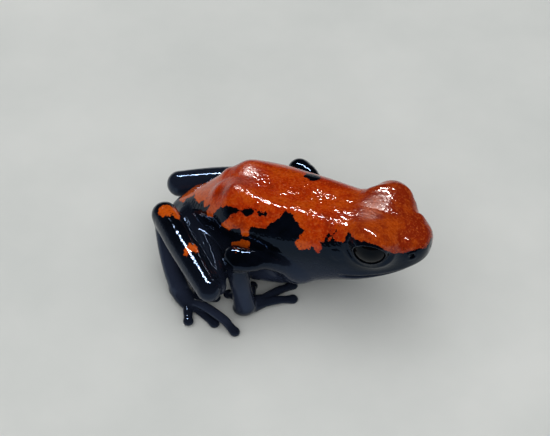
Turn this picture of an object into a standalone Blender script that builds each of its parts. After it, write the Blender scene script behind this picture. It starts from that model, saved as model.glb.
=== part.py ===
"""Splash-backed poison frog, a still, life-size museum model sitting on the floor.

Sizes are in millimetres and are turned to metres as each mesh is made.
Frog axes: x runs from the snout tip (0) back to the vent (negative), y is
positive to the frog's left, and z is the height above the floor.
"""

import math

import bmesh
import bpy
from mathutils import Vector

MM = 0.001
GAP = 0.3
FLOOR_SKIN = 0.12

# The trunk and head as cross-sections, from the snout tip to the vent:
# x, half width, top, bottom, height of the widest line, squareness above, squareness below
BODY_SECTIONS = (
    (0.00, 0.05, 10.75, 10.65, 10.7, 2.0, 2.0),
    (-0.15, 1.35, 11.70, 9.50, 10.6, 2.1, 2.1),
    (-0.85, 2.55, 12.45, 8.65, 10.4, 2.3, 2.2),
    (-2.40, 3.75, 13.10, 7.80, 10.0, 2.5, 2.3),
    (-4.80, 4.85, 13.60, 6.75, 9.4, 2.6, 2.4),
    (-8.00, 5.70, 13.85, 5.30, 8.7, 2.6, 2.5),
    (-11.2, 6.05, 13.90, 3.90, 8.0, 2.6, 2.6),
    (-14.5, 6.35, 13.95, 2.50, 7.3, 2.8, 2.7),
    (-18.0, 6.80, 14.10, 1.35, 6.6, 2.9, 2.9),
    (-22.0, 7.05, 14.30, 0.85, 6.1, 2.9, 3.0),
    (-25.8, 6.50, 14.15, 0.95, 6.0, 2.7, 2.8),
    (-28.6, 5.20, 12.60, 1.40, 6.0, 2.3, 2.4),
    (-31.4, 4.00, 10.00, 2.20, 5.8, 2.1, 2.1),
    (-34.0, 2.60, 7.60, 3.10, 5.4, 2.0, 2.0),
    (-35.4, 1.30, 6.20, 3.90, 5.1, 2.0, 2.0),
    (-35.7, 0.05, 5.10, 5.00, 5.05, 2.0, 2.0),
)
NECK_X = -12.6
HEAD_SIDES = 42
HEAD_RINGS = 25
TORSO_SIDES = 40
TORSO_RINGS = 27

# Bony knobs: x, distance out, rise, spread along and across the body
KNOBS = (
    (-26.0, 2.5, 0.55, 1.5, 1.5),
    (-28.6, 2.1, 0.40, 0.5, 0.9),
    (-15.0, 3.0, 0.25, 2.0, 2.0),
    (-3.3, 2.3, 0.45, 0.7, 0.7),
)

# Eyes: an eyeball under the dome of its upper lid
EYE_CENTRE = (-6.7, 4.05, 12.25)
EYE_RADIUS = 2.2
EYE_AXIS = (0.14, 0.97, 0.08)
EYE_OPENING = (2.05, 1.55)
LID_DOME_RADIUS = 2.66
LID_DOME_LENGTH = 3.35
LID_DOME_TURN = 21.7
LID_BLEND = 2.2
LID_RIM = 0.28

MOUTH_CORNER_X = -10.6
MOUTH_HEIGHT_SNOUT = 9.35
MOUTH_HEIGHT_CORNER = 7.0
MOUTH_GAP = 0.28
MOUTH_DEPTH = 0.5
MOUTH_STEPS = 22
NOSTRIL_X = -1.6
NOSTRIL_HEIGHT = 11.0
NOSTRIL_RADIUS = 0.32
TYMPANUM_X = -10.8
TYMPANUM_HEIGHT = 10.5
TYMPANUM_RADIUS = 0.95
TYMPANUM_GROOVE = 0.16

# Joints of each side's limbs as x, distance out from the midline, z
JOINTS = {
    "right": {
        "shoulder": (-16.0, 4.9, 5.0), "elbow": (-23.2, 9.3, 9.5), "wrist": (-21.7, 10.0, 1.5),
        "hip": (-32.0, 2.4, 5.7), "knee": (-24.9, 12.2, 6.2), "shin": (-25.0, 14.0, 7.2),
        "heel": (-35.1, 3.8, 7.6), "ankle": (-30.8, 10.1, 1.8),
    },
    "left": {
        "shoulder": (-16.0, 4.9, 5.0), "elbow": (-21.1, 9.4, 8.4), "wrist": (-20.4, 10.0, 1.5),
        "hip": (-32.0, 2.4, 5.5), "knee": (-24.9, 9.7, 3.5), "shin": (-24.5, 10.4, 5.0),
        "heel": (-36.2, 4.2, 5.6), "ankle": (-33.0, 7.8, 1.6),
    },
}
# Shapes of the limbs: share of the length, radius across and radius up
UPPER_ARM = ((0.0, 1.5, 1.5), (0.35, 1.35, 1.25), (0.7, 1.5, 1.35), (1.0, 1.5, 1.45))
FOREARM = ((0.0, 1.45, 1.45), (0.35, 1.42, 1.42), (0.7, 1.3, 1.3), (1.0, 1.42, 1.42))
THIGH = ((0.0, 2.2, 2.2), (0.3, 2.0, 2.0), (0.7, 1.75, 1.75), (1.0, 1.5, 1.5))
SHANK = ((0.0, 1.6, 1.6), (0.25, 1.78, 1.78), (0.6, 1.93, 1.93), (0.85, 1.85, 1.85),
         (1.0, 1.7, 1.7))
TARSUS = ((0.0, 1.5, 1.5), (0.35, 1.2, 1.2), (0.7, 1.15, 1.15), (1.0, 1.3, 1.3))
# How far the middle of a limb bows out of line: ahead, outward and up
STRAIGHT = (0.0, 0.0, 0.0)
ARM_BOW = (0.0, 0.85, 1.5)
THIGH_BOW = (0.7, 0.0, 0.15)
TARSUS_BOW = (-0.55, 0.0, -0.8)

PALM_REACH = (1.7, -1.9)
PALM_RADII = ((1.2, 0.98), (1.3, 0.85), (1.1, 0.65))
# Each finger: direction from the wrist in degrees inward of straight ahead, and its reach
FINGERS = {
    "right": ((157.0, 4.4), (104.0, 4.7), (56.0, 7.7), (36.0, 6.6)),
    "left": ((140.0, 5.2), (92.0, 5.0), (52.0, 7.7), (30.0, 6.6)),
}
FINGER_ROOT = (0.4, -0.6)
FINGER_RADIUS = 0.62
FINGER_DISC = 0.70

SOLE_RADII = ((1.3, 1.05), (1.35, 0.95), (1.25, 0.72))
# Ball of each foot, then each toe's tip as x, distance out, and the height of its arch
FEET = {
    "right": ((-29.2, 11.2), ((-27.2, 7.6, 0.0), (-26.1, 9.1, 0.1), (-24.6, 13.4, 0.1),
                              (-21.6, 13.9, 1.1), (-27.9, 14.2, 0.1))),
    "left": ((-30.8, 9.2), ((-28.0, 6.0, 0.0), (-25.8, 7.4, 0.1), (-24.0, 9.6, 0.1),
                            (-23.2, 11.9, 0.1), (-26.2, 12.8, 0.0))),
}
TOE_RADIUS = 0.64
TOE_DISC = 0.70

ORANGE = (0.62, 0.10, 0.015, 1.0)
BLACK = (0.008, 0.010, 0.016, 1.0)
EYE_BLACK = (0.004, 0.004, 0.005, 1.0)


def catmull_rom(points, t):
    """A smooth curve through the points, at t from 0 to their number less one."""
    last = len(points) - 1
    i = min(int(t), last - 1)
    f = t - i
    before, here = points[max(i - 1, 0)], points[i]
    there, after = points[i + 1], points[min(i + 2, last)]
    return tuple(
        0.5 * (2 * b + (c - a) * f + (2 * a - 5 * b + 4 * c - d) * f * f
               + (3 * b - a - 3 * c + d) * f ** 3)
        for a, b, c, d in zip(before, here, there, after)
    )


def apron(reach):
    """Distance from an eye at which skin lies that would be at reach without the eye."""
    edge = LID_DOME_RADIUS
    near = max(1 - max(reach - edge, 0.0) / LID_BLEND, 0.0)
    return reach + near * near * LID_BLEND / 4


def section_parameter(x):
    """The place along BODY_SECTIONS where the trunk has this x."""
    low, high = 0.0, len(BODY_SECTIONS) - 1.0
    for _ in range(40):
        middle = (low + high) / 2
        if catmull_rom(BODY_SECTIONS, middle)[0] > x:
            low = middle
        else:
            high = middle
    return low


def knob(x, y, place, out, rise, along, across):
    """Height that a bony knob adds at x, y."""
    far = ((x - place) / along) ** 2 + ((abs(y) - out) / across) ** 2
    return rise * math.exp(-far / 2)


def body_point(t, angle):
    """A point of the trunk's skin. Angle 0 is the frog's left, and 90 degrees the back."""
    x, half, top, bottom, wide, above, below = catmull_rom(BODY_SECTIONS, t)
    c, s = math.cos(angle), math.sin(angle)
    power = 2 / (above if s > 0 else below)
    y = max(half, 0.02) * math.copysign(abs(c) ** power, c)
    reach = (top - wide) if s > 0 else (wide - bottom)
    z = wide + reach * math.copysign(abs(s) ** power, s)
    if s > 0:
        z += sum(knob(x, y, *place) for place in KNOBS)
    side = math.copysign(1.0, y)
    dome = Vector((EYE_CENTRE[0], side * EYE_CENTRE[1], EYE_CENTRE[2]))
    out = Vector((x, y, z)) - dome
    if 1e-6 < out.length < LID_DOME_RADIUS + LID_BLEND:
        out *= apron(out.length) / out.length
    return dome + out


def new_object(name, mesh_data, material):
    mesh = bpy.data.meshes.new(name)
    mesh_data.to_mesh(mesh)
    mesh_data.free()
    mesh.shade_smooth()
    made = bpy.data.objects.new(name, mesh)
    bpy.context.scene.collection.objects.link(made)
    made.data.materials.append(material)
    return made


def lofted(name, rings, material):
    """A closed body through rings of points, which start and end in a fan."""
    shape = bmesh.new()
    loops = [[shape.verts.new(Vector(p) * MM) for p in ring] for ring in rings]
    for first, second in zip(loops, loops[1:]):
        for i in range(len(first)):
            j = (i + 1) % len(first)
            shape.faces.new((first[i], first[j], second[j], second[i]))
    for loop in (loops[0], loops[-1]):
        middle = sum((v.co for v in loop), Vector()) / len(loop)
        pole = shape.verts.new(middle)
        for i in range(len(loop)):
            shape.faces.new((pole, loop[i], loop[(i + 1) % len(loop)]))
    bmesh.ops.recalc_face_normals(shape, faces=shape.faces)
    return new_object(name, shape, material)


def body_rings(t_from, t_to, rings, sides):
    circle = [2 * math.pi * (i + 0.5) / sides for i in range(sides)]
    places = [t_from + (t_to - t_from) * i / (rings - 1) for i in range(rings)]
    return [[body_point(t, a) for a in circle] for t in places]


def tube_rings(path, sides, rings, upward=(0, 0, 1), cap=3):
    """Rings round a limb's path of (x, y, z, radius across, radius up), with round ends."""
    last = len(path) - 1
    drawn = []
    for i in range(rings):
        t = last * i / (rings - 1)
        here = catmull_rom(path, t)
        ahead = Vector(catmull_rom(path, min(t + 0.02, last))[:3])
        behind = Vector(catmull_rom(path, max(t - 0.02, 0))[:3])
        drawn.append((Vector(here[:3]), (ahead - behind).normalized(), here[3], here[4]))
    ends = []
    for k in range(cap):
        turn = math.pi / 2 * (k + 0.35) / (cap + 0.35)
        ends.append((math.cos(turn), math.sin(turn)))
    first, final = drawn[0], drawn[-1]
    begin = [(first[0] - first[1] * first[2] * c, first[1], first[2] * s, first[3] * s)
             for c, s in ends]
    finish = [(final[0] + final[1] * final[2] * c, final[1], final[2] * s, final[3] * s)
              for c, s in reversed(ends)]
    made = []
    for centre, along, across, up in begin + drawn + finish:
        side = Vector(upward).cross(along).normalized()
        top = along.cross(side)
        made.append([
            centre + side * across * math.cos(a) + top * up * math.sin(a)
            for a in (2 * math.pi * j / sides for j in range(sides))
        ])
    return made


def limb_path(start, end, profile, side, bow=STRAIGHT):
    """A limb's path between two joints, with its radii, and its middle out of line by bow."""
    path = []
    for share, across, up in profile:
        bend = 4 * share * (1 - share)
        x, out, z = (a + (b - a) * share + c * bend for a, b, c in zip(start, end, bow))
        path.append((x, side * out, z, across, up))
    return path


def volume(target):
    """The volume in cubic metres, or 0 if the surface isn't closed."""
    shape = bmesh.new()
    shape.from_mesh(target.data)
    closed = all(edge.is_manifold for edge in shape.edges)
    found = shape.calc_volume() if closed and shape.faces else 0.0
    shape.free()
    return found


def boolean(target, other, operation):
    """Joins or cuts target with another closed object, and removes that object."""
    before = target.data.copy()
    whole, least = volume(target), 1.0 if operation == "UNION" else 0.1
    for solver in ("EXACT", "MANIFOLD"):
        change = target.modifiers.new("join", "BOOLEAN")
        change.operation = operation
        change.solver = solver
        change.object = other
        bpy.context.view_layer.objects.active = target
        bpy.ops.object.modifier_apply(modifier=change.name)
        if volume(target) > whole * least * 0.999:
            break
        target.data = before.copy()
    else:
        raise RuntimeError(f"{target.name} could not take {operation} of {other.name}")
    bpy.data.objects.remove(other)


def swollen(source, by=GAP):
    """A copy of an object whose skin lies further out by a gap."""
    copy = source.copy()
    copy.data = source.data.copy()
    bpy.context.scene.collection.objects.link(copy)
    for vertex in copy.data.vertices:
        vertex.co += vertex.normal * by * MM
    return copy


def cut_clear(target, *others):
    for other in others:
        boolean(target, swollen(other), "DIFFERENCE")


def cut_floor(target):
    """Cuts a flat sole where the piece is pressed on the floor."""
    bpy.ops.mesh.primitive_cube_add(size=0.1, location=(-0.02, 0, -0.05))
    boolean(target, bpy.context.object, "DIFFERENCE")


def keep_largest(target):
    """Drops any scrap that a cut leaves, and keeps the largest closed body."""
    shape = bmesh.new()
    shape.from_mesh(target.data)
    left, bodies = set(shape.verts), []
    while left:
        body, edge = set(), [left.pop()]
        while edge:
            vertex = edge.pop()
            body.add(vertex)
            for link in vertex.link_edges:
                other = link.other_vert(vertex)
                if other in left:
                    left.discard(other)
                    edge.append(other)
        bodies.append(body)
    bodies.sort(key=len)
    for body in bodies[:-1]:
        bmesh.ops.delete(shape, geom=list(body), context="VERTS")
    shape.to_mesh(target.data)
    shape.free()


def material(name, colour, roughness):
    made = bpy.data.materials.new(name)
    made.use_nodes = True
    shader = made.node_tree.nodes["Principled BSDF"]
    shader.inputs["Base Color"].default_value = colour
    shader.inputs["Roughness"].default_value = roughness
    return made


def make_head(skin):
    """The head, from the snout to the neck, with lids, mouth line, nostrils and eardrums."""
    head = lofted("head", body_rings(0.0, section_parameter(NECK_X), HEAD_RINGS, HEAD_SIDES),
                  skin)
    boolean(head, mouth_line(skin), "DIFFERENCE")
    for side in (1, -1):
        boolean(head, lid_dome(side, skin), "UNION")
        boolean(head, lid_rim(side, skin), "UNION")
        boolean(head, eye_opening(side, skin), "DIFFERENCE")
        boolean(head, nostril(side), "DIFFERENCE")
        boolean(head, eardrum_groove(side), "DIFFERENCE")
    return head


def eye_frame(side):
    """The eye's centre, its outward axis, and the directions along and up its opening."""
    centre = Vector((EYE_CENTRE[0], side * EYE_CENTRE[1], EYE_CENTRE[2]))
    axis = Vector((EYE_AXIS[0], side * EYE_AXIS[1], EYE_AXIS[2])).normalized()
    along = Vector((0, 0, 1)).cross(axis).normalized() * -side
    return centre, axis, along, axis.cross(along) * -side


def lid_dome(side, skin):
    """The dome of the upper lid, longest from its front outer end to its rear inner end."""
    dome = ball("lid_dome", side, LID_DOME_RADIUS, 26, 16, skin)
    dome.scale = (LID_DOME_LENGTH / LID_DOME_RADIUS, 1, 1)
    dome.rotation_euler = (0, 0, side * math.radians(LID_DOME_TURN))
    bpy.ops.object.transform_apply(location=False)
    return dome


def opening_point(side, angle, grow, depth):
    centre, axis, along, up = eye_frame(side)
    flat = (along * math.cos(angle) * EYE_OPENING[0] * grow
            + up * math.sin(angle) * EYE_OPENING[1] * grow)
    return centre + flat + axis * depth


def lid_rim(side, skin):
    """The thick edge of both lids, a ring that lies round the eye's opening."""
    count = 24
    depth = math.sqrt(EYE_RADIUS ** 2 - EYE_OPENING[0] * EYE_OPENING[1]) + 0.35
    shape = bmesh.new()
    loops = []
    _, axis, _, _ = eye_frame(side)
    for i in range(count):
        angle = 2 * math.pi * i / count
        middle = opening_point(side, angle, 1.04, depth)
        out = (middle - opening_point(side, angle, 0.5, depth)).normalized()
        loops.append([
            shape.verts.new((middle + out * LID_RIM * math.cos(a)
                             + axis * LID_RIM * math.sin(a)) * MM)
            for a in (2 * math.pi * j / 6 for j in range(6))
        ])
    for i in range(count):
        first, second = loops[i], loops[(i + 1) % count]
        for j in range(6):
            k = (j + 1) % 6
            shape.faces.new((first[j], first[k], second[k], second[j]))
    bmesh.ops.recalc_face_normals(shape, faces=shape.faces)
    return new_object("lid_rim", shape, skin)


def eye_opening(side, skin):
    """Cutter for the socket: room for the eyeball, and the way out between the lids."""
    socket = ball("socket", side, EYE_RADIUS + GAP, 22, 12, skin)
    rings = [
        [opening_point(side, 2 * math.pi * i / 24, 0.96, depth) for i in range(24)]
        for depth in (0.4, 4.0)
    ]
    boolean(socket, lofted("way_out", rings, skin), "UNION")
    return socket


def ball(name, side, radius, segments, rings, surface):
    """A sphere about the centre of one eye."""
    centre, _, _, _ = eye_frame(side)
    bpy.ops.mesh.primitive_uv_sphere_add(
        segments=segments, ring_count=rings, radius=radius * MM, location=centre * MM)
    made = bpy.context.object
    made.name = name
    made.data.materials.append(surface)
    made.data.shade_smooth()
    return made


def nostril(side):
    """Cutter for the pit of one nostril."""
    place = surface_at(NOSTRIL_X, NOSTRIL_HEIGHT, side)
    bpy.ops.mesh.primitive_ico_sphere_add(
        subdivisions=2, radius=NOSTRIL_RADIUS * MM, location=place * MM)
    return bpy.context.object


def surface_at(x, z, side):
    """The point of the trunk's side that has this x and height."""
    t = section_parameter(x)
    low, high = math.radians(-89), math.radians(89)
    for _ in range(30):
        middle = (low + high) / 2
        if body_point(t, middle)[2] < z:
            low = middle
        else:
            high = middle
    point = body_point(t, low)
    return Vector((point[0], side * point[1], point[2]))


def eardrum_groove(side):
    """Cutter for the ring that bounds the eardrum behind the eye."""
    centre = surface_at(TYMPANUM_X, TYMPANUM_HEIGHT, side)
    upward = surface_at(TYMPANUM_X, TYMPANUM_HEIGHT + 0.6, side) - centre
    onward = surface_at(TYMPANUM_X + 0.6, TYMPANUM_HEIGHT, side) - centre
    facing = upward.cross(onward) * side
    bpy.ops.mesh.primitive_torus_add(
        major_segments=20, minor_segments=5, major_radius=TYMPANUM_RADIUS * MM,
        minor_radius=TYMPANUM_GROOVE * MM, location=centre * MM,
        rotation=facing.to_track_quat("Z", "Y").to_euler())
    return bpy.context.object


def mouth_height(x):
    share = min(max(x / MOUTH_CORNER_X, 0.0), 1.0)
    return MOUTH_HEIGHT_SNOUT + (MOUTH_HEIGHT_CORNER - MOUTH_HEIGHT_SNOUT) * share ** 0.7


def mouth_reach(angle):
    """How far the jaw lies from the middle of the gape in a level direction."""
    low, high = 0.0, 14.0
    for _ in range(24):
        middle = (low + high) / 2
        x, y = MOUTH_CORNER_X + middle * math.cos(angle), middle * math.sin(angle)
        if x < 0 and abs(y) < surface_at(x, mouth_height(x), 1).y:
            low = middle
        else:
            high = middle
    return low


def mouth_line(skin):
    """Cutter for the line of the mouth, a thin wedge of one depth along the jaw."""
    rings = []
    for i in range(MOUTH_STEPS + 1):
        angle = math.radians(-86 + 172 * i / MOUTH_STEPS)
        ahead = Vector((math.cos(angle), math.sin(angle), 0))
        reach = mouth_reach(angle)
        x = MOUTH_CORNER_X + reach * ahead.x
        middle = Vector((MOUTH_CORNER_X, 0, mouth_height(x)))
        lip = Vector((0, 0, MOUTH_GAP))
        clear = middle + ahead * (reach + MOUTH_DEPTH)
        rings.append([middle + ahead * (reach - MOUTH_DEPTH), clear - lip, clear + lip])
    return lofted("mouth_line", rings, skin)


def make_digit(name, path, radius, disc, skin):
    """One finger or toe that ends in a flat disc, on a path of (x, y, z)."""
    tip, joint = Vector(path[-1]), Vector(path[-2])
    neck = tip + (joint - tip) * min(1.3 / (tip - joint).length, 0.4)
    stations = [(*p, radius, radius) for p in path[:-1]]
    stations.append((*neck, radius * 0.93, radius * 0.93))
    stations.append((*tip, disc, disc * 0.74))
    return lofted(name, tube_rings(stations, 8, 8, cap=2), skin)


def make_hand(side, wrist, fingers, skin):
    """The palm with four fingers, joined into one body."""
    x, out = wrist[0], wrist[1]
    palm = [
        (x - 0.4 + PALM_REACH[0] * f, side * (out + PALM_REACH[1] * f), 0.95 - 0.35 * f, *radii)
        for f, radii in zip((0.0, 0.5, 1.0), PALM_RADII)
    ]
    hand = lofted("hand", tube_rings(palm, 14, 5), skin)
    for turn, reach in fingers:
        angle = math.radians(turn)
        ahead = Vector((math.cos(angle), -side * math.sin(angle), 0))
        root = Vector((x + FINGER_ROOT[0], side * (out + FINGER_ROOT[1]), 0.75))
        knuckle = root + ahead * reach * 0.55 + Vector((0, 0, 0.1))
        tip = root + ahead * (reach - FINGER_DISC)
        tip.z = FINGER_DISC * 0.74 - FLOOR_SKIN
        finger = make_digit("finger", (root, knuckle, tip), FINGER_RADIUS, FINGER_DISC, skin)
        boolean(hand, finger, "UNION")
    return hand


def make_foot(side, ankle, ball, toes, skin):
    """The sole with five toes, joined into one body."""
    start = Vector((ankle[0], side * ankle[1], 1.3))
    end = Vector((ball[0], side * ball[1], 0.75))
    sole = [(*start.lerp(end, f), *radii) for f, radii in zip((0.0, 0.55, 1.0), SOLE_RADII)]
    foot = lofted("foot", tube_rings(sole, 14, 5), skin)
    for x, out, arch in toes:
        tip = Vector((x, side * out, TOE_DISC * 0.74 - FLOOR_SKIN))
        root = end + (tip - end).normalized() * 0.3
        bend = root.lerp(tip, 0.5) + Vector((0, 0, arch))
        path = (root, bend, tip)
        if arch > 1:
            path = (root, root.lerp(tip, 0.35) + Vector((0, 0, arch)),
                    root.lerp(tip, 0.75) + Vector((0, 0, arch * 0.9)), tip)
        boolean(foot, make_digit("toe", path, TOE_RADIUS, TOE_DISC, skin), "UNION")
    return foot


def make_arm(side, name, torso, skin):
    joints = JOINTS[name]
    upper = lofted("upper_arm_" + name, tube_rings(
        limb_path(joints["shoulder"], joints["elbow"], UPPER_ARM, side, ARM_BOW), 16, 9), skin)
    fore = lofted("forearm_" + name, tube_rings(
        limb_path(joints["elbow"], joints["wrist"], FOREARM, side), 16, 9, (1, 0, 0)), skin)
    hand = make_hand(side, joints["wrist"], FINGERS[name], skin)
    hand.name = "hand_" + name
    cut_clear(hand, fore)
    cut_clear(fore, upper)
    cut_clear(upper, torso)
    for piece in (hand, fore, upper):
        cut_floor(piece)
        keep_largest(piece)


def make_leg(side, name, torso, skin):
    joints = JOINTS[name]
    thigh = lofted("thigh_" + name, tube_rings(
        limb_path(joints["hip"], joints["knee"], THIGH, side, THIGH_BOW), 18, 10), skin)
    shank = lofted("shank_" + name, tube_rings(
        limb_path(joints["shin"], joints["heel"], SHANK, side), 18, 10), skin)
    tarsus = lofted("tarsus_" + name, tube_rings(
        limb_path(joints["heel"], joints["ankle"], TARSUS, side, TARSUS_BOW), 14, 8), skin)
    foot = make_foot(side, joints["ankle"], *FEET[name], skin)
    foot.name = "foot_" + name
    cut_clear(foot, tarsus)
    cut_clear(tarsus, shank, thigh)
    cut_clear(shank, thigh, torso)
    cut_clear(thigh, torso)
    for piece in (thigh, shank, tarsus, foot):
        cut_floor(piece)
        keep_largest(piece)


def centre_on_floor():
    """Moves the whole frog so that the origin is under the middle of its box."""
    nodes = [o for o in bpy.context.scene.objects if o.type == "MESH"]
    corners = [o.matrix_world @ Vector(c) for o in nodes for c in o.bound_box]
    middle = [(min(c[i] for c in corners) + max(c[i] for c in corners)) / 2 for i in (0, 1)]
    for o in nodes:
        o.location -= Vector((middle[0], middle[1], 0))


def main():
    for old in list(bpy.data.objects):
        bpy.data.objects.remove(old)
    back = material("orange_skin", ORANGE, 0.22)
    limbs = material("black_skin", BLACK, 0.2)
    glass = material("eye_black", EYE_BLACK, 0.05)
    make_head(back)
    last = len(BODY_SECTIONS) - 1.0
    trunk = body_rings(section_parameter(NECK_X - GAP), last, TORSO_RINGS, TORSO_SIDES)
    torso = lofted("torso", trunk, back)
    for side, name in ((1, "left"), (-1, "right")):
        ball("eye_" + name, side, EYE_RADIUS, 20, 12, glass)
        make_arm(side, name, torso, limbs)
        make_leg(side, name, torso, limbs)
    bpy.context.view_layer.update()
    centre_on_floor()


main()
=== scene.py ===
"""A splash-backed poison frog, life size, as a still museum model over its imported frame.

Lengths here are in millimetres in the frog's own axes, where x runs from the snout tip (0)
back to the vent (negative), y is positive to the frog's left and z is the height above the
floor. Distances out are from the middle of the body, alike on both sides. Meshes are made in
metres, moved by ORIGIN into the frame's axes.
"""

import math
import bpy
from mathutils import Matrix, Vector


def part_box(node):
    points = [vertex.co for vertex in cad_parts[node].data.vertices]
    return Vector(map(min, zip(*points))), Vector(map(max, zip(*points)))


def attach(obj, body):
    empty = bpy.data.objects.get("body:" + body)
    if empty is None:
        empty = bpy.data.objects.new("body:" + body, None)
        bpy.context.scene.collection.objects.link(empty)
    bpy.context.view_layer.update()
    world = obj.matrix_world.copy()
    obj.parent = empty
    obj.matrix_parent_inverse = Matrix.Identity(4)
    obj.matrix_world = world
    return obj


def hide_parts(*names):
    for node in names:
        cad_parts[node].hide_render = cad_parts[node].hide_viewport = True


bl_info = {
    "name": "Splash-backed poison frog",
    "version": (1, 0, 0),
    "blender": (4, 5, 0),
    "location": "View3D > Sidebar > Frog",
    "description": "Builds the skin, eyes and stage of a life-size poison frog",
    "category": "Add Mesh",
}

import bmesh
import bpy
import numpy as np
from bpy.props import FloatProperty, FloatVectorProperty, PointerProperty
from mathutils import Matrix, Vector

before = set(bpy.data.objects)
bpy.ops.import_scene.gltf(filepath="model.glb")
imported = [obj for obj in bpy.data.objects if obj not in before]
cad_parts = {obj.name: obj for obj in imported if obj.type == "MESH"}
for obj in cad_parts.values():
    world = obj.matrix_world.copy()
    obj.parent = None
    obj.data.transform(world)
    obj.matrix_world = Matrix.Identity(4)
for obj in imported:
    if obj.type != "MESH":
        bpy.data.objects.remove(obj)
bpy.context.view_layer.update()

MM = 0.001
# The right eyeball's box in the frame says where the frog's own axes start
EYE_CENTRE = (-6.7, 4.05, 12.25)
EYE_RADIUS = 2.2
EYE_LOW, EYE_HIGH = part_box("eye_right")
ORIGIN = (EYE_LOW + EYE_HIGH) / 2 - Vector((EYE_CENTRE[0], -EYE_CENTRE[1], EYE_CENTRE[2])) * MM

# Trunk and head: x, half width, top, bottom, height of the widest line, squareness above and below
BODY_SECTIONS = (
    (0.00, 0.05, 10.75, 10.65, 10.7, 2.0, 2.0),
    (-0.15, 1.35, 11.70, 9.50, 10.6, 2.1, 2.1),
    (-0.85, 2.55, 12.45, 8.65, 10.4, 2.3, 2.2),
    (-2.40, 3.75, 13.10, 7.70, 10.0, 2.5, 2.5),
    (-4.80, 4.85, 13.60, 6.60, 9.4, 2.6, 2.8),
    (-8.00, 5.70, 13.85, 5.10, 8.7, 2.6, 2.9),
    (-11.2, 6.05, 13.90, 3.90, 8.0, 2.6, 2.6),
    (-14.5, 6.35, 13.95, 2.50, 7.3, 2.8, 2.7),
    (-18.0, 6.80, 14.10, 1.35, 6.6, 2.9, 2.9),
    (-22.0, 7.05, 14.30, 0.85, 6.1, 2.9, 3.0),
    (-25.8, 6.50, 14.15, 0.95, 6.0, 2.7, 2.8),
    (-28.6, 5.20, 12.60, 1.40, 6.0, 2.3, 2.4),
    (-31.4, 4.00, 10.00, 2.20, 5.8, 2.1, 2.1),
    (-34.0, 2.60, 7.60, 3.10, 5.4, 2.0, 2.0),
    (-35.4, 1.30, 6.20, 3.90, 5.1, 2.0, 2.0),
    (-35.7, 0.05, 5.10, 5.00, 5.05, 2.0, 2.0),
)
# Numbers below this one count as nothing
TINY = 1e-9
# The trunk's sections are at least this wide and tall, and none are taken nearer its ends
THIN = 0.02
END_INSET = 0.001
# The sections are joined by a curve, which is read in this many places
SECTION_COUNT = 1600
# Bony knobs: x, distance out, rise, spread along and across the body
KNOBS = (
    (-26.0, 2.5, 0.55, 1.5, 1.5),
    (-28.6, 2.1, 0.4, 0.5, 0.9),
    (-15.0, 3.0, 0.25, 2.0, 2.0),
    (-2.2, 2.6, 0.42, 0.42, 0.42),
    (-7.2, 0.8, 0.75, 2.3, 1.5),
)
# Folds along the back: x and distance out of the rear end and of the front end, rise, spread
BACK_FOLDS = (
    (-27.2, 2.8, -18.2, 3.9, 0.42, 1.15),
    (-18.9, 3.45, -9.6, 4.3, 0.5, 1.35),
)
LEFT_FOLD_SHARE = 0.2
# Knobs and folds are whole this far above the trunk's widest line
LIFT_START = 2.0

# Where the left eye looks, and half the length and height of the opening between its lids
EYE_AXIS = (0.14, 0.97, 0.08)
EYE_OPENING = (2.05, 1.55)
# The opening is flatter above than below
UPPER_OPENING = 0.98
# The cornea is part of a wider ball, whose centre lies behind the eyeball's, and goes over into
# the eyeball between these angles from the eye's axis
EYE_CAP = 2.9
EYE_SET_BACK = 0.6
CORNEA_EDGE = (62, 82)
# Long dome of the upper lid: direction, radii along, across and up, how far in it lies, and the
# width of its blend into the head
BROW_AXIS = (0.93, 0.37, 0.0)
BROW_RADII = (3.35, 2.72, 2.66)
BROW_SET_BACK = 0.35
LID_BLEND = 1.7
# Crest of the upper lid: x, distance out, height and radius
BROW_CREST = (
    (-9.0, 3.35, 13.5, 0.85), (-8.1, 3.75, 13.9, 0.85), (-7.1, 4.25, 14.03, 0.85),
    (-6.2, 4.72, 13.92, 0.85), (-5.35, 5.15, 13.6, 0.85), (-4.7, 5.5, 13.1, 0.7),
)
CREST_BLEND = 0.5
# Heights from the middle of the opening where the lower lid ends and the upper one begins
LID_TURN = (-0.6, 1.2)
# The lids lie close on the cornea between these distances from the edge of the opening
LID_REACH = (1.15, 0.35)
# Thickness of the lower and of the upper lid
LID_THICKNESS = (0.08, 0.38)
# Rounded rim of the lids: radius, distance from the opening, height on the lower and upper lid
LID_RIM = 0.17
RIM_OFF = 0.12
RIM_HEIGHT = (0.02, 0.26)
# Second soft fold of the lower lid: radius, distance from the opening and depth
LOWER_FOLD = (0.2, 0.72, 0.05)
# It sinks this far past the corners of the eye, from this height up to the middle
FOLD_SINK = 0.3
FOLD_SINK_START = -0.6
# Widths of the blends of the rim, of the fold and of the opening's edge
RIM_BLEND = 0.15
FOLD_BLEND = 0.25
OPENING_BLEND = 0.15
# Depths in front of the eyeball's centre where the lids' relief and the opening start
RELIEF_DEPTH = 0.2
OPENING_DEPTH = 0.4
# Points nearer the eye's axis than this share of the opening count as lying there
LEAST_RING = 0.05

# Mouth line: x of its corner, its height at the snout and there, and how it curves and fades in
MOUTH_CORNER_X = -10.6
MOUTH_HEIGHT_SNOUT = 9.35
MOUTH_HEIGHT_CORNER = 7.0
MOUTH_CURVE = 0.7
MOUTH_FADE = 1.2
NOSTRIL = (-1.6, 11.0)
EARDRUM = (-10.8, 10.5)
# Grooves, and ridges where negative: distance from the line or point, depth and spread
MOUTH_GROOVES = ((0.0, 0.30, 0.13), (0.45, -0.10, 0.35), (-0.4, -0.06, 0.3))
NOSTRIL_GROOVES = ((0.0, 0.42, 0.24), (0.46, -0.08, 0.18))
EARDRUM_GROOVES = ((0.95, 0.04, 0.2),)
FACE_END_X = -13.5

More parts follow.
